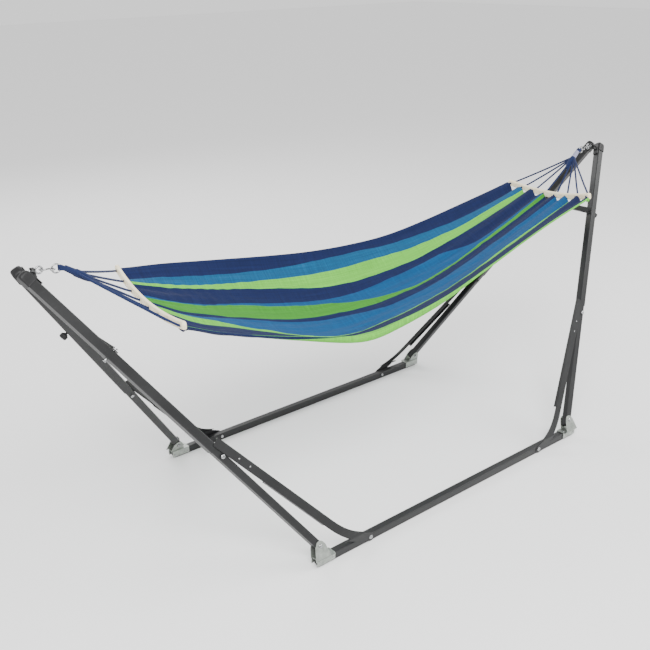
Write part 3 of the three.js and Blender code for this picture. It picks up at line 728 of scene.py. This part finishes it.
def clothPoint(width, along):
    flap, hemShare = bedShape["flap"], bedShape["hemShare"]
    across = max(0.0, (width - flap) / (1 - flap))
    inner = min(max((along - hemShare) / (1 - 2 * hemShare), 0), 1)
    spot = bedPoint(across, inner)
    fromLeft, fromRight = inner * bedShape["length"], (1 - inner) * bedShape["length"]
    # reach for the cords at both ends
    for endName, distance in (("left", fromLeft), ("right", fromRight)):
        shift = clothEnd(across, endName) - bedPoint(across, 0 if endName == "left" else 1)
        spot += shift * exp(-distance / bedShape["endReach"])
    # gathers fan out from the cords and die away
    gaps = barShape["cords"] - 1
    share = (across - cordShare(0)) / (cordShare(gaps) - cordShare(0))
    ripple = cos(2 * pi * gaps * share)
    edgeCalm = fold(across, 0.0, 0.05) * (1 - fold(across, 0.95, 1.0))
    for distance, reach in ((fromLeft, 0.17), (fromRight, 0.26)):
        spot.z += bedShape["gather"] * ripple * exp(-distance / reach) * (0.3 + 0.7 * edgeCalm)
    # slack folds along the length, and drag wrinkles by the left bar
    spot.z += 0.009 * noise.noise(Vector((inner * 2.2, across * 5.0, 2.0))) * edgeCalm
    spot.z += 0.0055 * noise.noise(Vector((inner * 4.5, across * 17.0, 5.0))) * edgeCalm
    spot.z += 0.002 * noise.noise(Vector((inner * 30.0, across * 30.0, 9.0))) * edgeCalm
    drag = fold(inner, 0.01, 0.06) * (1 - fold(inner, 0.16, 0.34)) * fold(across, 0.62, 0.74)
    drag *= 1 - fold(across, 0.86, 0.95)
    drift = noise.noise(Vector((inner * 8, across * 6, 1)))
    spot.z += 0.0009 * drag * sin(2 * pi * (inner * 36 + across * 7 + drift))
    # the near edge rolls over and hangs
    if width < flap:
        drop = (flap - width) / flap
        depth = 0.007 + 0.027 * fold(inner, 0.04, 0.45) * (1 - 0.85 * fold(inner, 0.46, 0.74))
        wave = 0.003 * noise.noise(Vector((inner * 14, 0.5, 3)))
        spot += Vector((0, -0.005 * sin(pi * drop) + 0.008 * drop + wave * drop, -depth * drop ** 0.85))
    # the far edge turns up a little where it is taut
    spot.z += 0.004 * fold(across, 0.965, 1.0)
    # rolled hems round the ends
    rolled = max(0.0, (hemShare - along) / hemShare, (along - 1 + hemShare) / hemShare)
    if rolled > 0:
        side = -1 if along < 0.5 else 1
        angle = rolled * 1.7 * pi
        hem = bedShape["hem"]
        spot += Vector((side * hem * sin(angle), 0, -hem * (1 - cos(angle))))
    return spot


def flapPlace(width, along):
    # the lime edge grows out of the navy one near the left bar
    limeShare = fold(along, 0.1, 0.34)
    return min(0.1 * (width / bedShape["flap"] + 0.02) / max(limeShare, 0.001), 0.15)


def makeBed():
    bm = bmesh.new()
    stripeMap = bm.loops.layers.uv.new("stripeMap")
    mapGrid(bm, clothGrid["across"], clothGrid["along"], lambda x, y: Vector((x, y, 0)), (0.70, 2.12))
    clothMap = bm.loops.layers.uv["clothMap"]
    for face in bm.faces:
        for loop in face.loops:
            u, v = loop[clothMap].uv
            width, along = loop.vert.co.x, loop.vert.co.y
            across = (width - bedShape["flap"]) / (1 - bedShape["flap"])
            across += 0.004 * noise.noise(Vector((along * 9, width * 3, 7)))
            place = stripePlace(across, along) if across > 0 else flapPlace(width, along)
            loop[stripeMap].uv = (along, place)
            loop[clothMap].uv = (v, u)
    for vert in bm.verts:
        # more rows where the hems roll
        along = vert.co.y
        ease = bedShape["ease"]
        if along < ease:
            along = along * along / ease * 0.75 + along * 0.25
        elif along > 1 - ease:
            rest = 1 - along
            along = 1 - (rest * rest / ease * 0.75 + rest * 0.25)
        vert.co = clothPoint(vert.co.x, along)
    bmesh.ops.recalc_face_normals(bm, faces=bm.faces)
    if sum(face.normal.z for face in bm.faces) < 0:
        bmesh.ops.reverse_faces(bm, faces=bm.faces)
    cloth = addPiece("bed_cloth", bm, "stripedCloth", "hammock", 180)
    thick = cloth.modifiers.new("thickness", "SOLIDIFY")
    thick.thickness = bedShape["thickness"]
    thick.offset = 0
    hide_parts("bed")
    return cloth


bedCloth = makeBed()
print("bed made")

# wooden bars with rounded ends and a hole for each cord


def ovalRadius(halfX, halfZ, power):
    def radius(turn, distance, total):
        angle = 2 * pi * turn
        return (abs(cos(angle) / halfX) ** power + abs(sin(angle) / halfZ) ** power) ** (-1 / power)
    return radius


def cutWith(bm, cutters):
    # bm less the cutters' shapes
    made = []
    for name, part in (("whole", bm), ("cutters", cutters)):
        mesh = bpy.data.meshes.new(name)
        part.to_mesh(mesh)
        part.free()
        made.append(bpy.data.objects.new(name, mesh))
        scene.collection.objects.link(made[-1])
    cut = made[0].modifiers.new("cut", "BOOLEAN")
    cut.object = made[1]
    cut.solver = "EXACT"
    graph = bpy.context.evaluated_depsgraph_get()
    result = bmesh.new()
    result.from_mesh(made[0].evaluated_get(graph).to_mesh())
    for thing in made:
        mesh = thing.data
        bpy.data.objects.remove(thing)
        bpy.data.meshes.remove(mesh)
    return result


def makeBar(endName):
    bm = bmesh.new()
    route = [barPoint(endName, -1 + 2 * i / 90) for i in range(91)]
    section = ovalRadius(barShape["thickness"] / 2, barShape["height"] / 2, 3.4)
    rollTube(bm, route, section, 32, (0.08, 0.62), roundEnds=0.011)
    close(bm)
    holes = bmesh.new()
    for i in range(barShape["cords"]):
        t = cordPlace(i)
        place = Matrix.Translation(barPoint(endName, t)) @ Matrix.Rotation(pi / 2, 4, "Y")
        bmesh.ops.create_cone(holes, cap_ends=True, segments=20, radius1=0.0048, radius2=0.0048, depth=0.04,
                              matrix=place)
    bar = addPiece(f"bar_{endName}", cutWith(bm, holes), "paleWood", "hammock", 35)
    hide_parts(f"wooden_bar_{endName}")
    return bar


woodenBars = [makeBar(endName) for endName in sides]
print("bars made")

# rings, hooks and eye bolts


def circle(centre, radius, first, second, count):
    return [centre + first * (radius * cos(2 * pi * i / count)) + second * (radius * sin(2 * pi * i / count))
            for i in range(count + 1)]


hookShape = {
    "wire": 0.0026, "eyeWire": 1.356,
    "spots": [(-5, -6.5, 0), (3, -8, 0), (8.5, -1, 0), (4, 7, -1), (-8, 4, -2), (-18, -3, -4), (-29, -8, -7),
              (-37.5, -1, -7), (-33, 7.5, -7), (-20, 11, -5)],
}
eyeShape = {
    "x": 1.367, "radius": 0.011, "wire": 0.003, "shank": 0.004,
    "washer": [(0.0005, 0), (0.0068, 0), (0.0075, 0.0006), (0.0075, 0.0014), (0.0068, 0.002), (0.0005, 0.002)],
}


def makeHanger(endName):
    side = sides[endName]
    across, up = Vector((1, 0, 0)), Vector((0, 0, 1))
    bm = bmesh.new()
    centre = Vector((side * ringShape["x"], 0, ringShape["z"]))
    rollTube(bm, circle(centre, ringShape["radius"], across, up, 64), ringShape["wire"], 16, closed=True)
    ring = addPiece(f"steel_ring_{endName}", close(bm), "brightSteel", "hammock")
    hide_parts(f"ring_{endName}")

    bm = bmesh.new()
    height = stand["apexHeight"]
    spots = [Vector((side * (hookShape["eyeWire"] + x / 1000), side * y / 1000, height + z / 1000))
             for x, y, z in hookShape["spots"]]
    rollTube(bm, smoothPath(spots, 130), hookShape["wire"], 18, roundEnds=hookShape["wire"])
    hook = addPiece(f"hook_{endName}", close(bm), "brightSteel", "hammock")
    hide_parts(f"s_hook_{endName}")

    bm = bmesh.new()
    axis = Vector((side, 0, 0))
    middle = Vector((side * eyeShape["x"], 0, stand["apexHeight"]))
    rollTube(bm, circle(middle, eyeShape["radius"], across, up, 56), eyeShape["wire"], 16, closed=True)
    neck = [middle + axis * (0.0105 + 0.046 * i / 260) for i in range(261)]

    def threaded(turn, distance, total):
        if distance < 0.022:
            return eyeShape["shank"]
        return eyeShape["shank"] - 0.00035 * (0.5 + 0.5 * cos(2 * pi * (distance / 0.00125 - turn)))

    rollTube(bm, neck, threaded, 20)
    turned(bm, eyeShape["washer"], middle + axis * 0.0146, axis)
    nut(bm, middle + axis * 0.0252, axis, 0.0068, 0.0062)
    bolt = addPiece(f"eye_{endName}", close(bm), "brightSteel", "front_half", 30)
    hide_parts(f"eye_bolt_{endName}")


for endName in sides:
    makeHanger(endName)
print("hangers made")

# bolts with domed heads

boltShape = {"shank": 0.004, "nut": 0.0072, "nutHeight": 0.0055}


def makeBolt(name, node, origin, axis, inner, outer, head, body):
    origin, axis = Vector(origin), Vector(axis).normalized()
    bm = bmesh.new()
    dome = [(0.0, outer + 0.0046)]
    for step in range(1, 9):
        angle = pi / 2 * step / 8
        dome.append((head * sin(angle), outer + 0.0006 + 0.004 * cos(angle)))
    shank = boltShape["shank"]
    dome += [(head, outer), (shank, outer), (shank, inner - 0.0062), (0.0, inner - 0.0066)]
    turned(bm, dome, origin, axis, 32)
    nut(bm, origin + axis * (inner - boltShape["nutHeight"]), axis, boltShape["nut"], boltShape["nutHeight"])
    bolt = addPiece(name, close(bm), "brightSteel", body, 35)
    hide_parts(node)


def tubePlug(name, leg, start, length, size, body):
    # a square plug in the end of a leg, with softened edges and a shallow recess
    bm = bmesh.new()
    bmesh.ops.create_cube(bm, size=1.0)
    bmesh.ops.scale(bm, vec=(size, size, length), verts=bm.verts)
    soften(bm, list(bm.edges), 0.0016, 3)
    low = [min(bm.faces, key=lambda face: face.calc_center_median().z)]
    bmesh.ops.inset_region(bm, faces=low, thickness=0.004, depth=-0.001)
    place = Matrix.Translation(leg["foot"] + leg["along"] * (start + length / 2))
    bmesh.ops.transform(bm, matrix=place @ leg["turn"], verts=bm.verts)
    addPiece(name, close(bm), "blackPlastic", body, 35)


capShape = {"size": 0.0364, "length": 0.034, "dome": 0.0125}


def makeTopCap(name, node, leg, body):
    # a square sleeve that rounds over into a dome
    half, length, dome = capShape["size"] / 2, capShape["length"], capShape["dome"]
    levels = [(0.0, half, 9.0), (0.001, half + 0.0004, 9.0), (0.003, half + 0.0004, 9.0), (0.0038, half, 9.0)]
    levels += [(0.004 + (length - 0.006) * i / 8, half, 9.0 - 3 * (i / 8) ** 3) for i in range(9)]
    for i in range(1, 15):
        angle = pi / 2 * i / 14
        size = half * max(cos(angle), 0.0) ** 0.62
        levels.append((length - 0.002 + dome * sin(angle), size, 6.0 - 3.9 * i / 14))
    spots = [Vector((0, 0, height)) for height, size, power in levels]

    def square(turnShare, distance, total):
        height, size, power = min(levels, key=lambda level: abs(level[0] - distance))
        angle = 2 * pi * turnShare
        return max(size, 0.00005) * (abs(cos(angle)) ** power + abs(sin(angle)) ** power) ** (-1 / power)

    bm = bmesh.new()
    rollTube(bm, spots, square, 72)
    place = Matrix.Translation(leg["foot"] + leg["along"] * (leg["length"] - 0.0334))
    bmesh.ops.transform(bm, matrix=place @ leg["turn"], verts=bm.verts)
    cap = addPiece(name, close(bm), "blackPlastic", body, 50)
    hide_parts(node)


rivetDome = [(0.0, 0.0019), (0.0014, 0.0018), (0.0026, 0.0013), (0.0033, 0.0005), (0.0034, 0.0),
             (0.0034, -0.0006), (0.0, -0.0006)]


def makeRivets(name, spots, axes, body):
    bm = bmesh.new()
    for spot, axis in zip(spots, axes):
        turned(bm, rivetDome, spot, axis, 20)
    addPiece(name, close(bm), "brightSteel", body, 50)


braceShape = {"top": 0.59, "inset": 0.02, "rise": 0.006, "bendX": 0.59, "bendZ": 0.062, "face": 0.019,
              "rivets": (0.105, 0.155)}


def braceSpots(leg, endSide, halfSide):
    # rivets on the brace's face, below the bolt that it shares with the leg
    foot, outward = leg["foot"], leg["outward"]
    slope = outward.y * halfSide
    upSlope = Vector((0, -halfSide * sqrt(1 - slope ** 2), slope))
    top = foot + leg["along"] * braceShape["top"]
    start = Vector((top.x - foot.x - endSide * braceShape["inset"],
                    (top.z - foot.z) / slope + braceShape["rise"]))
    bend = Vector((endSide * braceShape["bendX"] - foot.x, (braceShape["bendZ"] - foot.z) / slope))
    run = (bend - start).normalized()
    spots = []
    for distance in braceShape["rivets"]:
        flat = start + run * distance
        spots.append(foot + Vector((flat.x, 0, 0)) + upSlope * flat.y + outward * braceShape["face"])
    return spots


for halfName, halfSide in halves.items():
    body = f"{halfName}_half"
    for endName, endSide in sides.items():
        corner = f"{halfName}_{endName}"
        leg = legFrame(endSide, halfSide)
        foot, along, outward = leg["foot"], leg["along"], leg["outward"]
        makeBolt(f"mid_leg_bolt_{corner}", f"leg_bolt_{corner}", foot + along * stand["midBolt"], outward,
                 -0.0143, 0.0193, 0.0082, body)
        makeBolt(f"corner_rivet_{corner}", f"corner_pin_{corner}", foot + along * stand["pin"], outward,
                 -0.0174, 0.0174, 0.0078, body)
        railY = stand["railSpacing"] / 2
        braceBoltAt = (endSide * stand["braceBoltX"], halfSide * railY, stand["braceBoltZ"])
        makeBolt(f"rail_bolt_{corner}", f"brace_bolt_{corner}", braceBoltAt, (0, halfSide, 0),
                 -0.0153, 0.018, 0.0085, body)
        makeTopCap(f"leg_cap_{corner}", f"top_cap_{corner}", leg, body)
        tubePlug(f"leg_plug_{corner}", leg, 0.0092, 0.0052, 0.0272, body)
        middleX = endSide * (stand["pinSpan"] / 2 + 0.004)
        spots = [Vector((middleX + dx, halfSide * (railY + 0.0178), 0.017)) for dx in (-0.03, 0.03)]
        spots += [Vector((middleX + dx, halfSide * (railY - 0.0178), 0.017)) for dx in (-0.03, 0.03)]
        spots.append(Vector((middleX - endSide * 0.028, halfSide * (railY + 0.009), 0.0328)))
        axes = [Vector((0, halfSide, 0))] * 2 + [Vector((0, -halfSide, 0))] * 2 + [Vector((0, 0, 1))]
        makeRivets(f"bracket_rivets_{corner}", spots, axes, body)
        makeRivets(f"brace_rivets_{corner}", braceSpots(leg, endSide, halfSide), [outward] * 2, body)
print("bolts, caps and plugs made")

# lobed knobs on the spreader bolts

knobShape = {"lobes": 6, "depth": 0.13, "boss": 0.008}


def endNormal(endSide):
    rise, run = stand["apexHeight"] - stand["footHeight"], (stand["apexSpan"] - stand["pinSpan"]) / 2
    return Vector((-endSide * rise, 0, run)).normalized()


def makeKnob(endName):
    endSide = sides[endName]
    leg = legFrame(endSide, -endSide)
    pivot = leg["foot"] + leg["along"] * (leg["length"] * stand["spreader"])
    normal = endNormal(endSide)
    levels = [(0.0, -0.0415), (0.005, -0.0414), (0.009, -0.0409), (0.0118, -0.0398), (0.0134, -0.0378),
              (0.0139, -0.0355), (0.0139, -0.0295), (0.0134, -0.0268), (0.0122, -0.025), (0.0102, -0.0242),
              (0.0088, -0.024), (0.0082, -0.0234), (0.008, -0.0212), (0.004, -0.021), (0.004, 0.0232),
              (0.0068, 0.0234), (0.0073, 0.024), (0.0073, 0.027), (0.0066, 0.0278), (0.0, 0.028)]
    bm = bmesh.new()
    turned(bm, levels, (0, 0, 0), (0, 0, 1), 96)
    for vert in bm.verts:
        radius = sqrt(vert.co.x ** 2 + vert.co.y ** 2)
        if vert.co.z < -0.0238 and radius > knobShape["boss"]:
            turn = atan2(vert.co.y, vert.co.x)
            amount = (radius - knobShape["boss"]) / 0.006
            scale = 1 - knobShape["depth"] * amount * (0.5 - 0.5 * cos(knobShape["lobes"] * turn)) ** 2
            vert.co.x *= scale
            vert.co.y *= scale
    bmesh.ops.transform(bm, matrix=Matrix.Translation(pivot) @ turnTo(normal), verts=bm.verts)
    knob = addPiece(f"hand_knob_{endName}", close(bm), "blackPlastic", f"knob_{endName}", 40)
    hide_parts(f"knob_{endName}")


for endName in sides:
    makeKnob(endName)
print("knobs made")

# finishes and softened edges for the parts kept from the frame

keptFinish = {
    "rail_cap": "blackPlastic", "corner_bracket": "zincPlate", "spreader_stud": "brightSteel",
}
softened = {
    "spreader_stud": 0.0005, "corner_bracket": 0.0006, "brace": 0.0005, "spreader": 0.0006,
    "apex_hinge": 0.0008, "rail_cap": 0.0012,
}
for name, node in nodes.items():
    if node.hide_render:
        continue
    kind = next((key for key in keptFinish if name.startswith(key)), None)
    material = finish[keptFinish[kind] if kind else "charcoalPaint"]
    node.data.materials.clear()
    node.data.materials.append(material)
    for place in node.material_slots:
        place.material = material
    edge = next((softened[key] for key in softened if name.startswith(key)), None)
    if edge:
        weld = node.modifiers.new("weld", "WELD")
        weld.merge_threshold = 0.00001
        bevel = node.modifiers.new("soft edges", "BEVEL")
        bevel.width = edge
        bevel.segments = 2
        bevel.limit_method = "ANGLE"
        bevel.angle_limit = radians(35)
        bevel.use_clamp_overlap = True
print("kept parts finished")

# floor, soft light

floorSize = 30


def makeFloor():
    bm = bmesh.new()
    bmesh.ops.create_grid(bm, x_segments=2, y_segments=2, size=floorSize)
    mesh = bpy.data.meshes.new("floor")
    bm.to_mesh(mesh)
    bm.free()
    floor = bpy.data.objects.new("floor", mesh)
    floor.location.z = -0.0006
    material, tree, shader = newMaterial("paleFloor")
    shader.inputs["Base Color"].default_value = (0.93, 0.93, 0.93, 1)
    shader.inputs["Roughness"].default_value = 0.75
    mesh.materials.append(material)
    scene.collection.objects.link(floor)


lamps = [
    {"name": "keySoft", "place": (-2.6, -3.4, 4.6), "at": (0, 0, 0.5), "size": 3.2, "watts": 420},
    {"name": "fillSoft", "place": (3.8, -2.6, 3.4), "at": (0, 0, 0.6), "size": 3.0, "watts": 170},
    {"name": "backSoft", "place": (0.5, 4.5, 3.8), "at": (0, 0, 0.7), "size": 3.0, "watts": 120},
]


def addLamp(lamp):
    data = bpy.data.lights.new(lamp["name"], "AREA")
    data.energy = lamp["watts"]
    data.size = lamp["size"]
    light = bpy.data.objects.new(lamp["name"], data)
    place = Vector(lamp["place"])
    turn = (Vector(lamp["at"]) - place).to_track_quat("-Z", "Y").to_matrix().to_4x4()
    light.matrix_world = Matrix.Translation(place) @ turn
    scene.collection.objects.link(light)


makeFloor()
for lamp in lamps:
    addLamp(lamp)
world = bpy.data.worlds.new("studio")
scene.world = world
world.use_nodes = True
sky = world.node_tree.nodes["Background"]
sky.inputs["Color"].default_value = (1.0, 1.0, 1.0, 1)
sky.inputs["Strength"].default_value = 1.15
print("studio lit")
